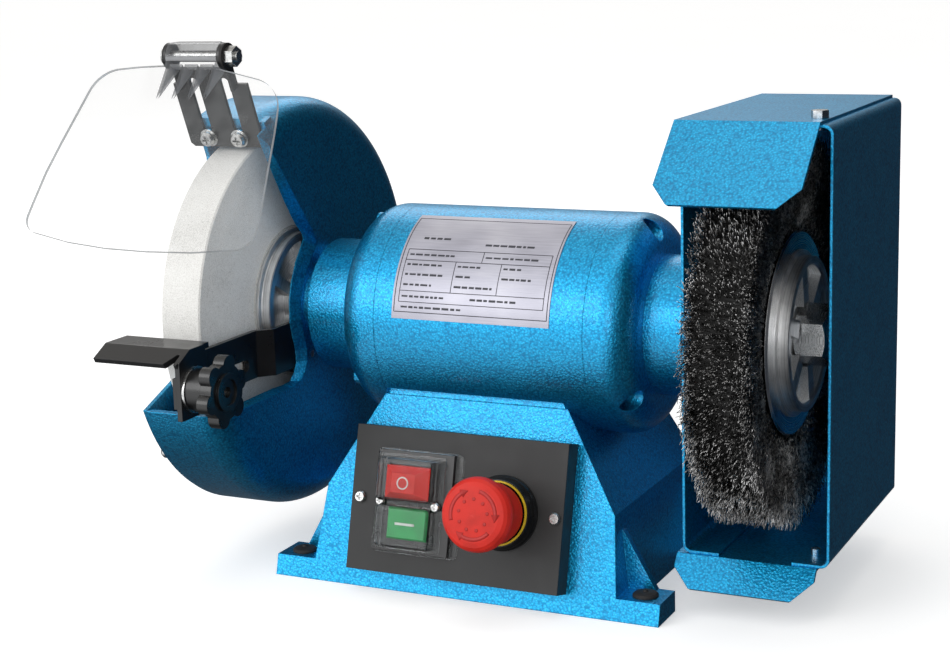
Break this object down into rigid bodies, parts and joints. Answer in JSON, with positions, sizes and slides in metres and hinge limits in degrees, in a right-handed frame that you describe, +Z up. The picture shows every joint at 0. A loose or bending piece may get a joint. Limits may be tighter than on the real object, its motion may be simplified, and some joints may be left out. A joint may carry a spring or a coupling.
{
  "type": "bench grinder",
  "caption": "Bench grinder on a cast pedestal: guarded grinding wheel with tool rest and eye shield on the left, boxed wire wheel brush on the right, switch panel and stop button in front.",
  "frame": {"origin": "middle of the four foot holes, on the underside of the pedestal", "axes": "+X along the shaft from the grinding wheel to the wire brush, -Y towards the operator, +Z up"},
  "size_m": [0.4251, 0.2588, 0.2993],
  "materials": {
    "bearing_steel": "polished",
    "black_plastic": "gloss",
    "black_rubber": "matte",
    "black_steel": "satin",
    "blotter_paper": "matte",
    "blue_hammer_paint": "gloss",
    "brush_steel": "polished",
    "brush_wire": "satin",
    "clear_plastic": "gloss",
    "copper_winding": "satin",
    "core_steel": "satin",
    "gland_plastic": "matte",
    "green_plastic": "satin",
    "label_foil": "satin",
    "machined_aluminium": "satin",
    "panel_plastic": "satin",
    "red_plastic": "satin",
    "shaft_steel": "satin",
    "wheel_abrasive": "matte",
    "yellow_plastic": "satin",
    "zinc_steel": "satin"
  },
  "bodies": {
    "stand": {"pedestal": "blue_hammer_paint", "foot_plugs": "black_rubber", "cable_gland": "gland_plastic", "control_panel": "panel_plastic", "panel_screws": "zinc_steel", "switch_body": "black_plastic", "switch_gasket": "clear_plastic", "switch_cover": "clear_plastic", "switch_screws": "zinc_steel", "estop_collar": "black_plastic", "estop_ring": "yellow_plastic", "estop_contact_block": "gland_plastic", "motor_barrel": "blue_hammer_paint", "left_end_bell": "blue_hammer_paint", "right_end_bell": "blue_hammer_paint", "bell_bolts": "blue_hammer_paint", "bell_bolts_long": "blue_hammer_paint", "stator_core": "core_steel", "stator_windings": "copper_winding", "rating_plate": "label_foil", "bearing_outer_rings": "bearing_steel", "wheel_guard": "blue_hammer_paint", "guard_side_cover": "blue_hammer_paint", "cover_screws": "zinc_steel", "guard_mounting_screws": "zinc_steel", "tool_rest_arm": "black_steel", "arm_screws": "zinc_steel", "arrester_screws": "zinc_steel", "arrester_washers": "zinc_steel", "brush_guard_strip": "blue_hammer_paint", "brush_guard_left_panel": "blue_hammer_paint", "brush_guard_right_panel": "blue_hammer_paint", "brush_guard_bolts": "zinc_steel"},
    "rotor": {"shaft": "shaft_steel", "rotor_core": "core_steel", "bearing_inner_rings": "bearing_steel", "bearing_balls": "bearing_steel", "grinding_wheel": "wheel_abrasive", "wheel_blotters": "blotter_paper", "wheel_inner_flange": "machined_aluminium", "wheel_outer_flange": "machined_aluminium", "wheel_nut": "zinc_steel", "wire_brush": "brush_wire", "brush_hub_discs": "brush_steel", "brush_inner_flange": "machined_aluminium", "brush_ring_flange": "machined_aluminium", "brush_nut": "brush_steel"},
    "arrester": {"spark_arrester": "black_steel", "hinge_bolt": "zinc_steel", "hinge_washers": "black_rubber", "hinge_nut": "zinc_steel"},
    "shield": {"eye_shield": "clear_plastic"},
    "rest_clamp": {"rest_stud": "zinc_steel"},
    "rest_table": {"tool_rest": "black_steel", "rest_washer": "zinc_steel"},
    "knob": {"star_knob": "black_plastic"},
    "stop_key": {"stop_button": "red_plastic"},
    "start_key": {"start_button": "green_plastic"},
    "estop_plunger": {"estop_stem": "red_plastic"},
    "estop_head": {"estop_mushroom": "red_plastic"}
  },
  "joints": [
    {"name": "rotor_spin", "type": "hinge", "parent": "stand", "child": "rotor", "pos_m": [0, 0, 0.144], "axis": [1, 0, 0], "continuous": true},
    {"name": "arrester_slide", "type": "slide", "parent": "stand", "child": "arrester", "axis": [0, -0.3746, 0.9272], "range_m": [-0.0022, 0.0012]},
    {"name": "shield_hinge", "type": "hinge", "parent": "arrester", "child": "shield", "pos_m": [-0.1575, -0.0623, 0.2917], "axis": [1, 0, 0], "range_deg": [-78, 8]},
    {"name": "rest_slide", "type": "slide", "parent": "stand", "child": "rest_clamp", "axis": [0, 1, 0], "range_m": [-0.006, 0.0012]},
    {"name": "rest_tilt", "type": "hinge", "parent": "rest_clamp", "child": "rest_table", "pos_m": [-0.1325, -0.1195, 0.118], "axis": [1, 0, 0], "range_deg": [-1.5, 12]},
    {"name": "knob_turn", "type": "hinge", "parent": "rest_clamp", "child": "knob", "pos_m": [-0.118, -0.1195, 0.118], "axis": [1, 0, 0], "range_deg": [0, 360]},
    {"name": "stop_press", "type": "slide", "parent": "stand", "child": "stop_key", "axis": [0, 0.9653, -0.261], "range_m": [0, 0.004], "stiffness_N_per_m": 300, "springref_m": -0.001},
    {"name": "start_press", "type": "slide", "parent": "stand", "child": "start_key", "axis": [0, 0.9653, -0.261], "range_m": [0, 0.003], "stiffness_N_per_m": 300, "springref_m": -0.001},
    {"name": "estop_press", "type": "slide", "parent": "stand", "child": "estop_plunger", "axis": [0, 0.9653, -0.261], "range_m": [0, 0.005], "stiffness_N_per_m": 800, "springref_m": -0.002},
    {"name": "estop_twist", "type": "hinge", "parent": "estop_plunger", "child": "estop_head", "pos_m": [0.028, -0.08916, 0.05653], "axis": [0, -0.9653, 0.261], "range_deg": [-40, 0], "stiffness_Nm_per_rad": 0.05, "springref_deg": 5.73}
  ]
}
